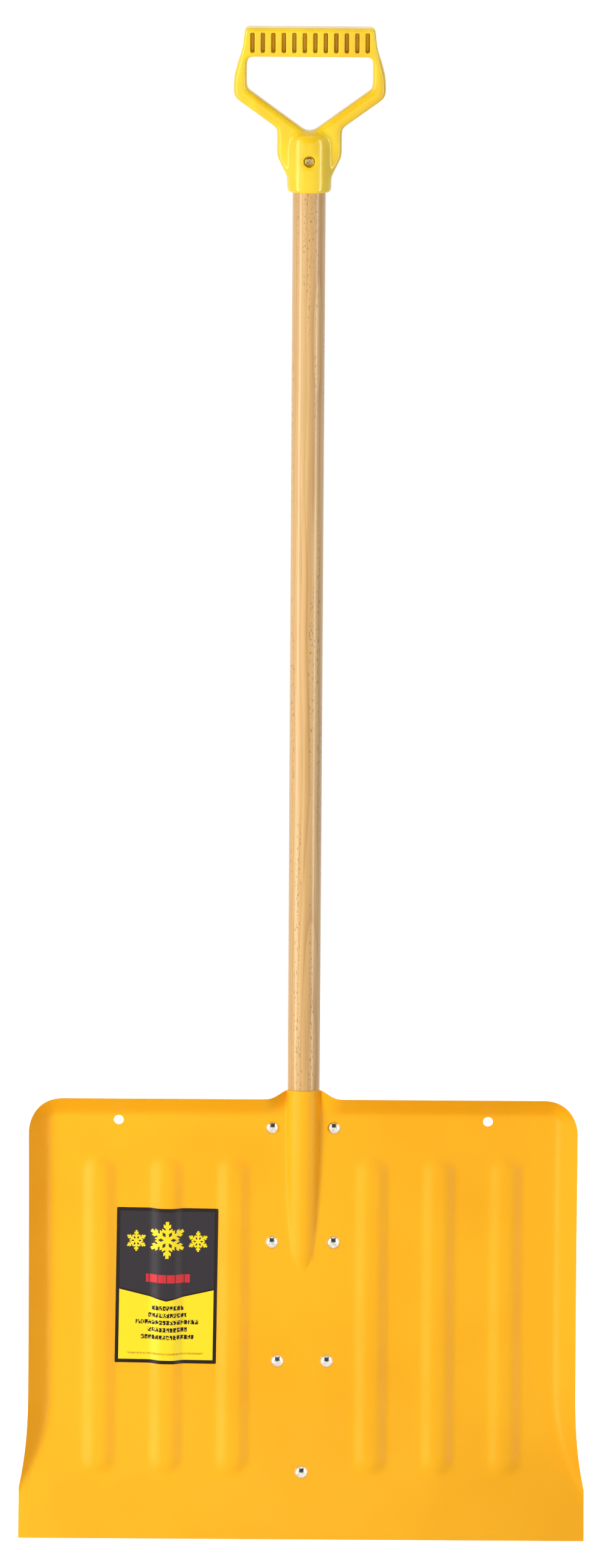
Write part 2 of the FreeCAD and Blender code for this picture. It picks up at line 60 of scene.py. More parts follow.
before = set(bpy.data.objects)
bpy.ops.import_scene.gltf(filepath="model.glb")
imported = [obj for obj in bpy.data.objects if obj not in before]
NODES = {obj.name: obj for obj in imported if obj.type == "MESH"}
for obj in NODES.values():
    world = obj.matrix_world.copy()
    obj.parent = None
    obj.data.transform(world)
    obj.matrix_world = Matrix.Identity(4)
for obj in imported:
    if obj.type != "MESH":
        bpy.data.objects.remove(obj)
CAD_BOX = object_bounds()

MM = 0.001


def node_middle(name):
    low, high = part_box(name)
    return (low + high) / 2


def node_size(name):
    low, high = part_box(name)
    return high - low


SHAFT_MIDDLE = node_middle("handle_shaft")
SHAFT_LOW, SHAFT_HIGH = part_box("handle_shaft")


# ---- Sizes and colours

def length(name, description, default):
    return FloatProperty(
        name=name, description=description, default=default, unit="LENGTH", precision=5
    )


def rotation(name, description, degrees):
    return FloatProperty(
        name=name, description=description, default=math.radians(degrees), unit="ROTATION"
    )


def watts(name, description, default):
    return FloatProperty(name=name, description=description, default=default, unit="POWER")


def colour(name, description, default):
    return FloatVectorProperty(
        name=name, description=description, default=default, subtype="COLOR", size=3, min=0, max=1
    )


def share(name, description, default):
    return FloatProperty(
        name=name, description=description, default=default, subtype="FACTOR", min=0, max=1
    )


class EnamelSettings(bpy.types.PropertyGroup):
    """Stove enamel on the two pressings."""
    body: colour("Body", "Golden yellow of the enamel", (0.95, 0.455, 0.009))
    deep: colour("Deep", "Where the enamel lies thicker", (0.92, 0.415, 0.006))
    peel_size: length("Peel size", "Width of the orange peel's bumps", 2.2 * MM)
    peel_depth: length("Peel depth", "Depth of the orange peel", 0.012 * MM)
    roughness: share("Roughness", "Middle roughness of the enamel", 0.44)
    gloss: share("Gloss", "Strength of the enamel's reflection", 0.25)


class WoodSettings(bpy.types.PropertyGroup):
    """Lacquered straight-grained hardwood."""
    early: colour("Early wood", "Pale part of each ring", (0.69, 0.42, 0.145))
    late: colour("Late wood", "Dark line of each ring", (0.47, 0.235, 0.062))
    pore: colour("Pores", "Open pores and fibre ends", (0.17, 0.095, 0.03))
    ring_pitch: length("Ring pitch", "From one growth ring to the next", 2.1 * MM)
    lacquer: share("Lacquer", "Weight of the clear lacquer", 0.6)


class PlasticSettings(bpy.types.PropertyGroup):
    """Moulded plastic of the D grip."""
    body: colour("Body", "Lemon yellow of the plastic", (0.92, 0.65, 0.013))
    shade: colour("Shade", "Where the melt flowed slower", (0.88, 0.56, 0.009))
    roughness: share("Roughness", "Middle roughness of the moulding", 0.20)
    skin: length("Skin", "Size of the facets in the grip's surface", 0.7 * MM)
    swell: length("Swell", "How far the softened arms are filled out again", 0.5 * MM)
    rounds: IntProperty(
        name="Rounds", description="Times the arms are softened", default=40, min=0
    )


class SteelSettings(bpy.types.PropertyGroup):
    """Plating: zinc on the rivets, yellow on the screws."""
    bright: colour("Bright", "Clean plating", (0.88, 0.85, 0.76))
    dull: colour("Dull", "Oxidised plating", (0.70, 0.67, 0.60))
    screw: colour("Screws", "Yellow plating of the screws", (0.62, 0.45, 0.17))
    screw_dull: colour("Dull screws", "Worn plating of the screws", (0.36, 0.25, 0.09))
    roughness: share("Roughness", "Middle roughness of the plating", 0.12)


class LabelSettings(bpy.types.PropertyGroup):
    """Printed film on the blade."""
    charcoal: colour("Charcoal", "Upper field", (0.027, 0.022, 0.026))
    ink: colour("Ink", "Border and small print", (0.014, 0.006, 0.004))
    yellow: colour("Yellow", "Lower field and snowflakes", (0.92, 0.70, 0.014))
    red: colour("Red", "Blocks on the upper field", (0.60, 0.022, 0.030))
    faint: colour("Faint", "The line along the foot", (0.55, 0.16, 0.01))
    border_width: length("Border", "Width of the line round the label", 2.8 * MM)
    point_drop: length("Point", "How far the upper field's point hangs below its sides", 9.4 * MM)
    side_drop: length("Sides", "From the middle down to the upper field's sides", 3.1 * MM)
    flake_radius: length("Snowflake", "Radius of the middle snowflake", 15.0 * MM)
    flake_height: length("Snowflake height", "From the middle up to the snowflakes", 37.0 * MM)
    row_height: length("Row height", "Height of a row of small print", 3.5 * MM)
    tilt: rotation("Tilt", "Turn of the label on the blade", 0.7)


class StudioSettings(bpy.types.PropertyGroup):
    """Camera and softboxes."""
    aim: FloatVectorProperty(
        name="Aim", description="Point that the camera looks at",
        default=(-4.4 * MM, 60 * MM, 610.8 * MM), subtype="TRANSLATION", unit="LENGTH", size=3,
    )
    distance: length("Distance", "From the camera to the shaft", 5.0)
    pitch: rotation("Pitch", "How far the camera looks down", 11.5)
    roll: rotation("Roll", "Turn of the camera about its own axis", 0.35)
    lens: FloatProperty(
        name="Lens", description="Focal length in mm", default=143.8, unit="CAMERA"
    )
    key_power: watts("Key", "Left softbox", 20.0)
    fill_power: watts("Fill", "Right softbox", 5.5)
    front_power: watts("Front", "Front softbox", 8.0)
    top_power: watts("Top", "Overhead softbox", 7.0)
    back_power: watts("Back", "Each rear softbox", 13.0)
    left_strip_power: watts("Left strip", "Lamp of the left highlight", 19.0)
    right_strip_power: watts("Right strip", "Lamp of the right highlight", 20.0)


# ---- Nodes

def fresh_material(name):
    """An empty material with one Principled shader on its output."""
    material = bpy.data.materials.new(name)
    material.use_nodes = True
    tree = material.node_tree
    tree.nodes.clear()
    output = tree.nodes.new("ShaderNodeOutputMaterial")
    shader = tree.nodes.new("ShaderNodeBsdfPrincipled")
    tree.links.new(shader.outputs["BSDF"], output.inputs["Surface"])
    return material, tree, shader


def place(tree, kind, inputs=None, **settings):
    """Adds a node; inputs maps a socket's name or number to a value or a socket."""
    node = tree.nodes.new(kind)
    for key, value in settings.items():
        setattr(node, key, value)
    for socket, value in (inputs or {}).items():
        if isinstance(value, bpy.types.NodeSocket):
            tree.links.new(value, node.inputs[socket])
        else:
            node.inputs[socket].default_value = value
    return node


def math_node(tree, operation, *values):
    node = place(tree, "ShaderNodeMath", dict(enumerate(values)), operation=operation)
    return node.outputs[0]


def noise(tree, vector, scale, detail, roughness=0.5, distortion=0.0):
    node = place(
        tree, "ShaderNodeTexNoise",
        {"Vector": vector, "Scale": scale, "Detail": detail,
         "Roughness": roughness, "Distortion": distortion},
    )
    return node.outputs["Fac"]


def grain(tree, point, across, along, detail, roughness=0.5, distortion=0.0):
    """Noise drawn out along the shaft, by its scale across and along it."""
    drawn_out = place(
        tree, "ShaderNodeVectorMath", {0: point, 1: (across, across, along)},
        operation="MULTIPLY",
    )
    return noise(tree, drawn_out.outputs[0], 1.0, detail, roughness, distortion)


def remap(tree, value, low, high, new_low=0, new_high=1):
    """Smooth step from low, which gives new_low, to high, which gives new_high."""
    node = place(
        tree, "ShaderNodeMapRange",
        {"Value": value, "From Min": low, "From Max": high,
         "To Min": new_low, "To Max": new_high},
        interpolation_type="SMOOTHSTEP",
    )
    return node.outputs["Result"]


def blend(tree, factor, first, second):
    """The first colour where the factor is 0 and the second where it is 1."""
    colours = {
        socket: value if isinstance(value, bpy.types.NodeSocket) else (*value, 1.0)
        for socket, value in ((6, first), (7, second))
    }
    return place(tree, "ShaderNodeMix", {0: factor, **colours}, data_type="RGBA").outputs[2]


def from_origin(tree, x, y):
    """Distance of a point in the plane from its origin."""
    squares = [math_node(tree, "MULTIPLY", value, value) for value in (x, y)]
    return math_node(tree, "SQRT", math_node(tree, "ADD", *squares))


def object_point(tree):
    return tree.nodes.new("ShaderNodeTexCoord").outputs["Object"]


def relief(tree, shader, height, depth):
    """Bump on the shader: height runs from 0 to 1, and depth is in metres."""
    bump = place(tree, "ShaderNodeBump", {"Height": height, "Strength": 1.0, "Distance": depth})
    tree.links.new(bump.outputs["Normal"], shader.inputs["Normal"])


def drive(tree, shader, socket, value):
    tree.links.new(value, shader.inputs[socket])


# ---- Finishes

def enamel(settings):
    """Stove enamel: slow drift of tone, orange peel and handling haze."""
    material, tree, shader = fresh_material("enamel_golden")
    point = object_point(tree)
    drift = remap(tree, noise(tree, point, scale=7.0, detail=3.0), 0.35, 0.65)
    drive(tree, shader, "Base Color", blend(tree, drift, settings.body, settings.deep))
    haze = noise(tree, point, scale=26.0, detail=4.0, roughness=0.6)
    smoothest, roughest = settings.roughness - 0.05, settings.roughness + 0.06
    drive(tree, shader, "Roughness", remap(tree, haze, 0.3, 0.7, smoothest, roughest))
    peel = noise(tree, point, scale=1 / settings.peel_size, detail=1.5, roughness=0.4)
    relief(tree, shader, peel, settings.peel_depth)
    shader.inputs["Specular IOR Level"].default_value = settings.gloss
    return material


# Where the tree's pith ran, from the shaft's own axis
PITH = Vector((-21 * MM, 34 * MM, 0))
RING_SWAY = 20 * MM


def late_wood(tree, point, ring_pitch):
    """Rises slowly through each ring to its dark line, then drops sharply."""
    axis = Vector((SHAFT_MIDDLE.x, SHAFT_MIDDLE.y, 0)) + PITH
    centred = place(tree, "ShaderNodeVectorMath", {0: point, 1: axis}, operation="SUBTRACT")
    across = place(tree, "ShaderNodeSeparateXYZ", {0: centred.outputs[0]})
    far = from_origin(tree, across.outputs[0], across.outputs[1])
    sway = math_node(
        tree, "MULTIPLY", grain(tree, point, across=9, along=2.4, detail=2.0), RING_SWAY
    )
    rings = math_node(tree, "DIVIDE", math_node(tree, "ADD", far, sway), ring_pitch)
    ring = math_node(tree, "FRACT", rings)
    slow_rise = math_node(tree, "POWER", ring, 2.6)
    return math_node(tree, "MULTIPLY", slow_rise, remap(tree, ring, 0.93, 1.0, 1, 0))


def hardwood(settings):
    """Turned hardwood: growth rings about a far pith, fibre, pores and lacquer."""
    material, tree, shader = fresh_material("hardwood_lacquered")
    point = object_point(tree)
    fibre = grain(tree, point, across=1500, along=16, detail=3.0, roughness=0.6)
    streak = grain(tree, point, across=260, along=3, detail=3.0, roughness=0.6)
    tone = math_node(tree, "MULTIPLY", late_wood(tree, point, settings.ring_pitch), 0.55)
    tone = math_node(tree, "ADD", tone, remap(tree, streak, 0.3, 0.7, -0.05, 0.45))
    tone = math_node(tree, "ADD", tone, remap(tree, fibre, 0.3, 0.7, -0.14, 0.14))
    wood = blend(tree, tone, settings.early, settings.late)
    pores = grain(tree, point, across=1000, along=330, detail=1.0)
    patches = grain(tree, point, across=170, along=4, detail=1.0)
    flecked = remap(tree, patches, 0.5, 0.62)
    pore_mask = math_node(tree, "MULTIPLY", remap(tree, pores, 0.58, 0.70, 0, 0.75), flecked)
    drive(tree, shader, "Base Color", blend(tree, pore_mask, wood, settings.pore))
    drive(tree, shader, "Roughness", remap(tree, fibre, 0.3, 0.7, 0.38, 0.50))
    relief(tree, shader, math_node(tree, "SUBTRACT", fibre, pore_mask), 0.02 * MM)
    shader.inputs["Coat Weight"].default_value = settings.lacquer
    shader.inputs["Coat Roughness"].default_value = 0.17
    return material


def moulded_plastic(settings):
    """Glossy moulded plastic with faint flow marks."""
    material, tree, shader = fresh_material("plastic_lemon")
    point = object_point(tree)
    flow = remap(
        tree, grain(tree, point, across=30, along=12, detail=3.0, distortion=0.6), 0.35, 0.65
    )
    drive(tree, shader, "Base Color", blend(tree, flow, settings.body, settings.shade))
    scuffs = noise(tree, point, scale=90.0, detail=3.0)
    smoothest, roughest = settings.roughness - 0.04, settings.roughness + 0.06
    drive(tree, shader, "Roughness", remap(tree, scuffs, 0.3, 0.7, smoothest, roughest))
    relief(tree, shader, noise(tree, point, scale=220.0, detail=2.0), 0.02 * MM)
    shader.inputs["Subsurface Weight"].default_value = 0.08
    shader.inputs["Subsurface Radius"].default_value = (1.0, 0.6, 0.1)
    shader.inputs["Subsurface Scale"].default_value = 2 * MM
    return material


def zinc_plate(name, bright, dull, middle):
    """Barrelled plating: small grain, dull blotches and fine dings."""
    material, tree, shader = fresh_material(name)
    point = object_point(tree)
    blotch = remap(tree, noise(tree, point, scale=420.0, detail=3.0, roughness=0.6), 0.4, 0.66)
    drive(tree, shader, "Base Color", blend(tree, blotch, bright, dull))
    smoothest, roughest = middle - 0.04, middle + 0.14
    drive(tree, shader, "Roughness", remap(tree, blotch, 0, 1, smoothest, roughest))
    relief(tree, shader, noise(tree, point, scale=1400.0, detail=3.0), 0.008 * MM)
    shader.inputs["Metallic"].default_value = 1.0
    return material


def label_point(tree, settings):
    """Across and up on the label, from its middle, along its own sides."""
    middle = node_middle("label")
    point = object_point(tree)
    moved = place(tree, "ShaderNodeVectorMath", {0: point, 1: middle}, operation="SUBTRACT")
    turned = place(
        tree, "ShaderNodeVectorRotate",
        {"Vector": moved.outputs[0], "Axis": (0, 1, 0), "Angle": -settings.tilt},
        rotation_type="AXIS_ANGLE",
    )
    parts = place(tree, "ShaderNodeSeparateXYZ", {0: turned.outputs[0]})
    return parts.outputs[0], parts.outputs[2]


def label_half(turn):
    """Half the label's own width and height, from the upright box round it."""
    size = node_size("label")
    return Vector((
        size.x * math.cos(turn) - size.z * math.sin(turn),
        size.z * math.cos(turn) - size.x * math.sin(turn),
    )) / (2 * math.cos(2 * turn))


def inside(tree, distance):
    """1 where a signed distance is negative, 0 outside, with a printed edge between."""
    print_edge = 0.12 * MM
    return remap(tree, distance, -print_edge, print_edge, 1, 0)


def off_centre(tree, value, centre, half):
    """Signed distance of one coordinate outside a span."""
    away = math_node(tree, "ABSOLUTE", math_node(tree, "SUBTRACT", value, centre))
    return math_node(tree, "SUBTRACT", away, half)


def bar(tree, across, up, centre, size):
    """Mask of an upright rectangle."""
    sides = off_centre(tree, across, centre[0], size[0] / 2)
    ends = off_centre(tree, up, centre[1], size[1] / 2)
    return inside(tree, math_node(tree, "MAXIMUM", sides, ends))


def letter_blocks(tree, across, pitch, gap):
    """Mask that leaves a gap once in every pitch; gap is half its width, in pitches."""
    share_across = math_node(tree, "FRACT", math_node(tree, "DIVIDE", across, pitch))
    away = math_node(tree, "ABSOLUTE", math_node(tree, "SUBTRACT", share_across, 0.5))
    soft_edge = 0.04
    return remap(tree, away, 0.5 - gap, 0.5 - gap + soft_edge, 1, 0)


def speckle(tree, across, up, cell):
    """Random small cells that break a block up like tiny unreadable print."""
    missing = 0.2
    columns = math_node(tree, "FLOOR", math_node(tree, "DIVIDE", across, cell))
    rows = math_node(tree, "FLOOR", math_node(tree, "DIVIDE", up, cell))
    cells = place(tree, "ShaderNodeCombineXYZ", {0: columns, 1: rows})
    value = place(tree, "ShaderNodeTexWhiteNoise", {"Vector": cells.outputs[0]}).outputs["Value"]
    return math_node(tree, "GREATER_THAN", value, missing)


# Where the branches leave a flake's arm and how far aside they reach, in its radius
BRANCHES = ((0.38, 0.28), (0.66, 0.20))


def snowflake(tree, across, up, centre, radius):
    """Mask of a six-armed flake with two pairs of branches on each arm."""
    x = math_node(tree, "SUBTRACT", across, centre[0])
    y = math_node(tree, "SUBTRACT", up, centre[1])
    sixth = math.pi / 3
    angle = math_node(tree, "ARCTAN2", x, y)
    folded = math_node(tree, "PINGPONG", angle, sixth / 2)
    far = from_origin(tree, x, y)
    along = math_node(tree, "MULTIPLY", far, math_node(tree, "COSINE", folded))
    aside = math_node(tree, "MULTIPLY", far, math_node(tree, "SINE", folded))
    stroke = radius * 0.09
    branch_stroke = stroke * 0.85
    shape = math_node(
        tree, "MAXIMUM",
        math_node(tree, "SUBTRACT", aside, stroke),
        math_node(tree, "SUBTRACT", along, radius),
    )
    for root, reach in BRANCHES:
        start = math_node(tree, "SUBTRACT", along, radius * root)
        slant = math_node(
            tree, "SUBTRACT",
            math_node(tree, "MULTIPLY", start, math.sin(sixth)),
            math_node(tree, "MULTIPLY", aside, math.cos(sixth)),
        )
        side = math_node(tree, "SUBTRACT", math_node(tree, "ABSOLUTE", slant), branch_stroke)
        end = math_node(tree, "SUBTRACT", aside, radius * reach)
        shape = math_node(tree, "MINIMUM", shape, math_node(tree, "MAXIMUM", side, end))
    return inside(tree, shape)


# Snowflakes: offset to the side, drop below the flake height, size beside the middle one
FLAKES = ((0, 0, 1.0), (-25 * MM, 1.5 * MM, 0.56), (25 * MM, 1.5 * MM, 0.56))
# Rows of small print: height of the row above the label's middle, and width, in mm
SMALL_PRINT = ((-18.1, 26), (-24.0, 31), (-29.6, 51), (-35.5, 32), (-41.5, 43))
PRINT_MIDDLE = 1.0 * MM


def red_blocks(tree, across, up):
    """Mask of the row of red blocks on the upper field."""
    row = bar(tree, across, up, (PRINT_MIDDLE, 5.5 * MM), (35.5 * MM, 6.6 * MM))
    blocks = letter_blocks(tree, across, pitch=7.1 * MM, gap=0.07)
    return math_node(tree, "MULTIPLY", row, blocks)


def small_print(tree, across, up, row_height):
    """Mask of the rows of unreadable specks on the lower field."""
    rows = 0.0
    for height, width in SMALL_PRINT:
        row = bar(tree, across, up, (PRINT_MIDDLE, height * MM), (width * MM, row_height))
        rows = math_node(tree, "MAXIMUM", rows, row)
    blocks = letter_blocks(tree, across, pitch=2.9 * MM, gap=0.10)
    rows = math_node(tree, "MULTIPLY", rows, blocks)
    return math_node(tree, "MULTIPLY", rows, speckle(tree, across, up, 0.85 * MM))


def foot_line(tree, across, up):
    """Mask of the faint line along the label's foot."""
    line = bar(tree, across, up, (0, -54.7 * MM), (62 * MM, 1.5 * MM))
    line = math_node(tree, "MULTIPLY", line, speckle(tree, across, up, 0.5 * MM))
    return math_node(tree, "MULTIPLY", line, 0.7)


def above_edge(tree, across, up, half_width, settings):
    """How far a spot lies above the edge where the upper field ends in a point."""
    slope = settings.point_drop / half_width
    edge = math_node(
        tree, "ADD",
        math_node(tree, "MULTIPLY", math_node(tree, "ABSOLUTE", across), slope),
        -settings.side_drop - settings.point_drop,
    )
    return math_node(tree, "SUBTRACT", up, edge)


def printed_film(settings):
    """Label film: dark upper field ending in a point, yellow lower field and mock print."""
    material, tree, shader = fresh_material("label_film")
    across, up = label_point(tree, settings)
    half = label_half(settings.tilt)
    above = above_edge(tree, across, up, half.x, settings)
    colours = blend(tree, inside(tree, above), settings.charcoal, settings.yellow)
    for aside, drop, part in FLAKES:
        centre = (aside, settings.flake_height - drop)
        flake = snowflake(tree, across, up, centre, settings.flake_radius * part)
        colours = blend(tree, flake, colours, settings.yellow)
    colours = blend(tree, red_blocks(tree, across, up), colours, settings.red)
    rows = small_print(tree, across, up, settings.row_height)
    colours = blend(tree, rows, colours, settings.ink)
    colours = blend(tree, foot_line(tree, across, up), colours, settings.faint)
    rim = math_node(
        tree, "MAXIMUM",
        off_centre(tree, across, 0.0, half.x - settings.border_width),
        off_centre(tree, up, 0.0, half.y - settings.border_width),
    )
    border = math_node(tree, "SUBTRACT", 1.0, inside(tree, rim))
    half_line = 0.7 * MM
    keyline = inside(tree, off_centre(tree, above, half_line, half_line))
    colours = blend(tree, math_node(tree, "MAXIMUM", border, keyline), colours, settings.ink)
    drive(tree, shader, "Base Color", colours)
    wear = noise(tree, object_point(tree), scale=160.0, detail=3.0, roughness=0.6)
    drive(tree, shader, "Roughness", remap(tree, wear, 0.3, 0.7, 0.34, 0.46))
    relief(tree, shader, wear, 0.02 * MM)
    shader.inputs["Specular IOR Level"].default_value = 0.3
    return material


def give_finish(names, material):
    """The material on every slot of the named CAD nodes."""
    for name in names:
        mesh = NODES[name].data
        mesh.materials.clear()
        mesh.materials.append(material)


# ---- The grip's moulding

def fine_copy(name, node, facet):
    """A new object with the node's shape in small even facets."""
    piece = bpy.data.objects.new(name, NODES[node].data.copy())
    bpy.context.scene.collection.objects.link(piece)
    skin = piece.modifiers.new("skin", "REMESH")
    skin.mode = "VOXEL"
    skin.voxel_size = facet
    depsgraph = bpy.context.evaluated_depsgraph_get()
    piece.data = bpy.data.meshes.new_from_object(piece.evaluated_get(depsgraph))
    piece.modifiers.clear()
    piece.data.shade_smooth()
    return piece


def points_of(mesh):
    points = np.empty(len(mesh.vertices) * 3)
    mesh.vertices.foreach_get("co", points)
    return points.reshape(-1, 3)


def ramp(values, start, end):
    """0 at start and 1 at end, smooth between them, for a whole array."""
    part = np.clip((values - start) / (end - start), 0, 1)
    return part * part * (3 - 2 * part)


def softness_of_grip(mesh):
    """How freely each point may move: the bar, the bore and the screw's seat stay put."""
    points = points_of(mesh)
    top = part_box("d_grip")[1].z
    # The hand bar takes up the top 21 mm, and the softening sets in below it
    screw = node_middle("grip_screw")
    shaft_radius = (SHAFT_HIGH.x - SHAFT_LOW.x) / 2
    across = points[:, 0] - SHAFT_MIDDLE.x
    deep = points[:, 1] - SHAFT_MIDDLE.y
    below_bar = ramp(points[:, 2], top - 21 * MM, top - 26 * MM)
    above_bore = ramp(points[:, 2], SHAFT_HIGH.z + 2 * MM, SHAFT_HIGH.z + 5 * MM)
    from_axis = np.hypot(across, deep)
    outside_bore = ramp(from_axis, shaft_radius + 1.2 * MM, shaft_radius + 3 * MM)
    from_screw = np.hypot(points[:, 0] - screw.x, points[:, 2] - screw.z)
    behind = ramp(deep, -8 * MM, -4 * MM)
    off_seat = np.maximum(ramp(from_screw, 5 * MM, 8 * MM), behind)
    return below_bar * np.maximum(outside_bore, above_bore) * off_seat


def soften(mesh, weight, rounds, swell):
    """Draws each point towards its neighbours' middle, then fills the shape out again."""
    points = points_of(mesh)
    count = len(points)
    ends = np.empty(len(mesh.edges) * 2, dtype=np.int64)
    mesh.edges.foreach_get("vertices", ends)
    first, second = ends.reshape(-1, 2).T
    neighbours = np.bincount(first, minlength=count) + np.bincount(second, minlength=count)
    share_per_round = 0.7
    pull = share_per_round * weight
    for _ in range(rounds):
        for axis in range(3):
            line = points[:, axis]
            total = np.bincount(first, line[second], count)
            total += np.bincount(second, line[first], count)
            points[:, axis] = line + pull * (total / neighbours - line)
    mesh.vertices.foreach_set("co", points.ravel())
    mesh.update()
    normals = np.empty(count * 3)
    mesh.vertices.foreach_get("normal", normals)
    points += normals.reshape(-1, 3) * (swell * weight)[:, None]
    mesh.vertices.foreach_set("co", points.ravel())
    mesh.update()


# ---- Operators

class SHOVEL_OT_pressings(bpy.types.Operator):
    """Enamel the blade and the back plate"""
    bl_idname = "shovel.pressings"
    bl_label = "Pressings"

    def execute(self, context):
        give_finish(["blade", "back_plate"], enamel(context.scene.shovel_enamel))
        return {"FINISHED"}


class SHOVEL_OT_shaft(bpy.types.Operator):
    """Give the shaft its grain and lacquer"""
    bl_idname = "shovel.shaft"
    bl_label = "Shaft"

    def execute(self, context):
        give_finish(["handle_shaft"], hardwood(context.scene.shovel_wood))
        return {"FINISHED"}


class SHOVEL_OT_grip(bpy.types.Operator):
    """Mould the D grip"""
    bl_idname = "shovel.grip"
    bl_label = "Grip"

    def execute(self, context):
        settings = context.scene.shovel_plastic
        material = moulded_plastic(settings)
        give_finish(["d_grip"], material)
        piece = fine_copy("grip_moulding", "d_grip", settings.skin)
        soften(piece.data, softness_of_grip(piece.data), settings.rounds, settings.swell)
        piece.data.materials.clear()
        piece.data.materials.append(material)
        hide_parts("d_grip")
        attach(piece, "root")
        return {"FINISHED"}


class SHOVEL_OT_fixings(bpy.types.Operator):
    """Plate the rivets and the screws"""
    bl_idname = "shovel.fixings"
    bl_label = "Fixings"

    def execute(self, context):
        settings = context.scene.shovel_steel
        rivets = [name for name in NODES if name.startswith("rivet")]
        plate = zinc_plate("zinc_rivets", settings.bright, settings.dull, settings.roughness)
        give_finish(rivets, plate)
        yellow = zinc_plate("zinc_screws", settings.screw, settings.screw_dull, settings.roughness)
        give_finish(["grip_screw", "handle_screw"], yellow)
        return {"FINISHED"}


class SHOVEL_OT_label(bpy.types.Operator):
    """Print the label"""
    bl_idname = "shovel.label"
    bl_label = "Label"

    def execute(self, context):
        give_finish(["label"], printed_film(context.scene.shovel_label))
        return {"FINISHED"}


def softbox(name, turn, height, away, size, power, mirrored=False):
    """A soft rectangular lamp, turn degrees to the right of the front.

    A mirrored lamp only makes highlights; the others only light surfaces.
    """
    target = (CAD_BOX[0] + CAD_BOX[1]) / 2
    lamp = bpy.data.lights.new(name, "AREA")
    lamp.shape = "RECTANGLE"
    lamp.size, lamp.size_y = size
    lamp.energy = power
    holder = bpy.data.objects.new(name, lamp)
    bpy.context.scene.collection.objects.link(holder)
    angle = math.radians(turn)
    toward_lamp = Vector((math.sin(angle), -math.cos(angle), 0))
    holder.location = target + toward_lamp * away
    holder.location.z = height
    holder.rotation_euler = (target - holder.location).to_track_quat("-Z", "Y").to_euler()
    holder.visible_camera = False
    holder.visible_glossy = mirrored
    holder.visible_diffuse = not mirrored


def make_floor():
    """A round sheet of glowing white paper just under the cutting edge."""
    radius, sides = 60.0, 96
    turns = [2 * math.pi * i / sides for i in range(sides)]
    rim = [(radius * math.cos(turn), radius * math.sin(turn), 0) for turn in turns]
    mesh = bpy.data.meshes.new("studio_floor")
    mesh.from_pydata(rim, [], [list(range(sides))])
    floor = bpy.data.objects.new("studio_floor", mesh)
    bpy.context.scene.collection.objects.link(floor)
    floor.location.z = CAD_BOX[0].z - 0.5 * MM
    material, _, shader = fresh_material("floor_paper")
    shader.inputs["Base Color"].default_value = (0.5, 0.5, 0.5, 1)
    shader.inputs["Roughness"].default_value = 0.9
    shader.inputs["Specular IOR Level"].default_value = 0.0
    shader.inputs["Emission Color"].default_value = (1, 1, 1, 1)
    shader.inputs["Emission Strength"].default_value = 0.92
    mesh.materials.append(material)
    floor.visible_diffuse = False
    floor.visible_glossy = False
    floor.visible_shadow = False


# How bright the room is for light on the pieces, and how bright in reflections
WALL_LIGHT, CEILING_LIGHT = 0.50, 0.24
WALL_SHINE, OPENING_SHINE = 1.0, 0.06


def make_world():
    """A white room, calmer overhead, with a dark opening high up in front.

    Reflections see the walls brighter than the diffuse light from them is.
    """
    world = bpy.data.worlds.new("studio_room")
    bpy.context.scene.world = world
    world.use_nodes = True
    tree = world.node_tree
    tree.nodes.clear()
    toward = tree.nodes.new("ShaderNodeTexCoord").outputs["Generated"]
    sideways, backward, upward = place(tree, "ShaderNodeSeparateXYZ", {0: toward}).outputs
    rays = tree.nodes.new("ShaderNodeLightPath")
    lit = remap(tree, upward, -0.25, 0.25, WALL_LIGHT, CEILING_LIGHT)
    opening_middle = 0.52
    aside = remap(tree, math_node(tree, "ABSOLUTE", sideways), 0.46, 0.60, 1, 0)
    off_middle = math_node(tree, "ABSOLUTE", math_node(tree, "SUBTRACT", upward, opening_middle))
    height = remap(tree, off_middle, 0.34, 0.42, 1, 0)
    ahead = remap(tree, backward, -0.2, -0.1, 1, 0)
    opening = math_node(tree, "MULTIPLY", math_node(tree, "MULTIPLY", aside, height), ahead)
    walls = remap(tree, opening, 0, 1, WALL_SHINE, OPENING_SHINE)
    glossy = rays.outputs["Is Glossy Ray"]
    level = math_node(
        tree, "ADD",
        math_node(tree, "MULTIPLY", walls, glossy),
        math_node(tree, "MULTIPLY", lit, math_node(tree, "SUBTRACT", 1.0, glossy)),
    )
    room = place(tree, "ShaderNodeBackground", {"Color": (1, 1, 1, 1), "Strength": level})
    seen = place(tree, "ShaderNodeBackground", {"Color": (1, 1, 1, 1), "Strength": 1.0})
    mixed = place(
        tree, "ShaderNodeMixShader",
        {0: rays.outputs["Is Camera Ray"], 1: room.outputs[0], 2: seen.outputs[0]},
    )
    output = tree.nodes.new("ShaderNodeOutputWorld")
    tree.links.new(mixed.outputs[0], output.inputs["Surface"])


def make_camera(settings):
    """A long lens that looks down a little at the middle of the tool."""
    data = bpy.data.cameras.new("studio_camera")
    data.lens = settings.lens
    data.sensor_width = 36
    data.clip_end = 200
    camera = bpy.data.objects.new("studio_camera", data)
    bpy.context.scene.collection.objects.link(camera)
    back = Vector((0, -math.cos(settings.pitch), math.sin(settings.pitch)))
    camera.matrix_world = (
        Matrix.Translation(Vector(settings.aim) + back * settings.distance)
        @ Matrix.Rotation(math.pi / 2 - settings.pitch, 4, "X")
        @ Matrix.Rotation(settings.roll, 4, "Z")
    )
    bpy.context.scene.camera = camera


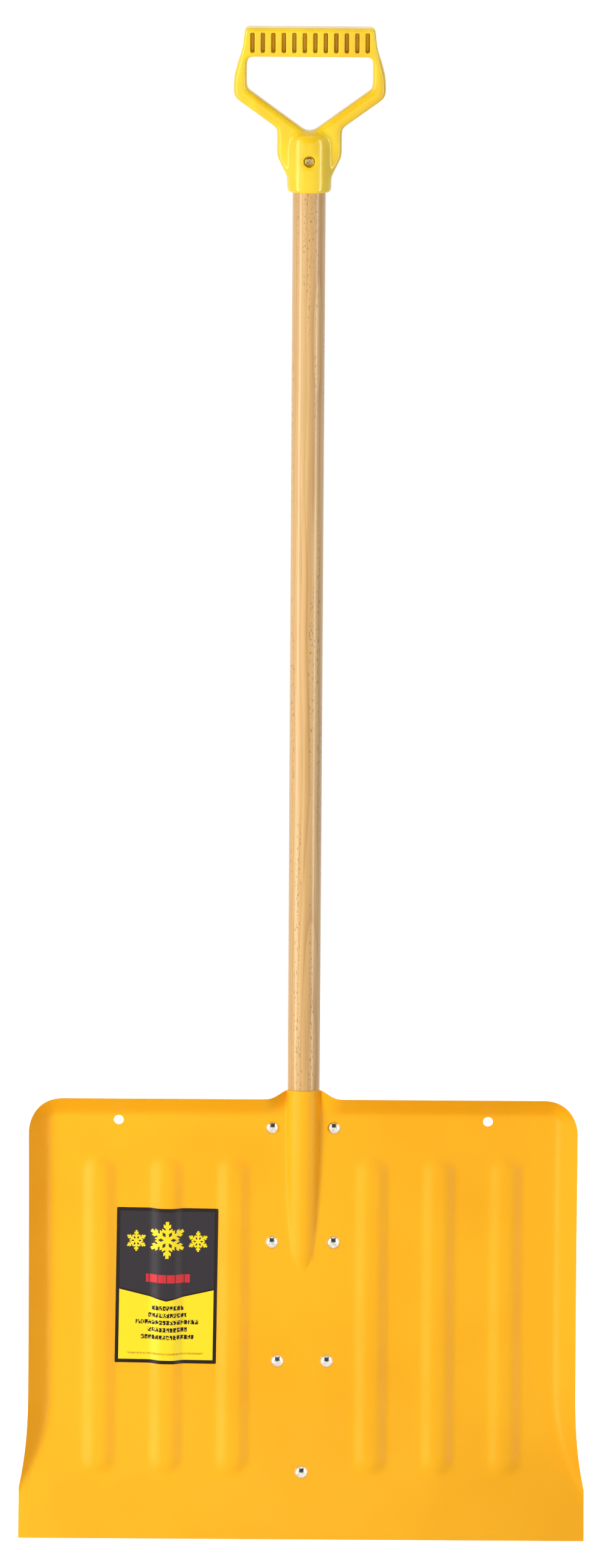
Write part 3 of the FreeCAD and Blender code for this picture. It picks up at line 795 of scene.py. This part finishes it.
# Lamps: name, degrees to the right of the front, height, distance from the shaft, size and
# the setting that holds the power. The strips only make the two upright highlights.
SOFTBOXES = (
    ("key_softbox", -44, 0.6, 1.5, (0.7, 1.4), "key_power"),
    ("fill_softbox", 45, 0.9, 2.0, (0.7, 1.6), "fill_power"),
    ("front_softbox", 0, 0.9, 2.4, (1.0, 1.2), "front_power"),
    ("top_softbox", 0, 2.3, 0.2, (0.8, 0.8), "top_power"),
    ("back_left_softbox", -140, 1.0, 2.0, (1.0, 1.6), "back_power"),
    ("back_right_softbox", 140, 1.0, 2.0, (1.0, 1.6), "back_power"),
)
STRIPS = (
    ("left_strip", -64, 0.8, 1.9, (0.50, 2.4), "left_strip_power"),
    ("right_strip", 61, 0.9, 2.0, (0.38, 2.4), "right_strip_power"),
)


class SHOVEL_OT_studio(bpy.types.Operator):
    """Set up the floor, the softboxes and the camera"""
    bl_idname = "shovel.studio"
    bl_label = "Studio"

    def execute(self, context):
        settings = context.scene.shovel_studio
        for name, turn, height, away, size, power in SOFTBOXES:
            softbox(name, turn, height, away, size, getattr(settings, power))
        for name, turn, height, away, size, power in STRIPS:
            softbox(name, turn, height, away, size, getattr(settings, power), mirrored=True)
        make_floor()
        make_world()
        make_camera(settings)
        context.scene.view_settings.view_transform = "Standard"
        return {"FINISHED"}


class SHOVEL_PT_panel(bpy.types.Panel):
    """Buttons for every piece and the studio"""
    bl_label = "Snow Shovel"
    bl_idname = "SHOVEL_PT_panel"
    bl_space_type = "VIEW_3D"
    bl_region_type = "UI"
    bl_category = "Shovel"

    def draw(self, context):
        for operator in OPERATORS:
            self.layout.operator(operator.bl_idname)


SETTINGS = {
    "shovel_enamel": EnamelSettings,
    "shovel_wood": WoodSettings,
    "shovel_plastic": PlasticSettings,
    "shovel_steel": SteelSettings,
    "shovel_label": LabelSettings,
    "shovel_studio": StudioSettings,
}
OPERATORS = (
    SHOVEL_OT_pressings,
    SHOVEL_OT_shaft,
    SHOVEL_OT_grip,
    SHOVEL_OT_fixings,
    SHOVEL_OT_label,
    SHOVEL_OT_studio,
)


def register():
    for name, group in SETTINGS.items():
        bpy.utils.register_class(group)
        setattr(bpy.types.Scene, name, PointerProperty(type=group))
    for operator in OPERATORS:
        bpy.utils.register_class(operator)
    bpy.utils.register_class(SHOVEL_PT_panel)


def unregister():
    bpy.utils.unregister_class(SHOVEL_PT_panel)
    for operator in reversed(OPERATORS):
        bpy.utils.unregister_class(operator)
    for name, group in SETTINGS.items():
        delattr(bpy.types.Scene, name)
        bpy.utils.unregister_class(group)


def main():
    register()
    bpy.ops.shovel.pressings()
    bpy.ops.shovel.shaft()
    bpy.ops.shovel.grip()
    bpy.ops.shovel.fixings()
    bpy.ops.shovel.label()
    bpy.ops.shovel.studio()


if __name__ == "__main__":
    main()
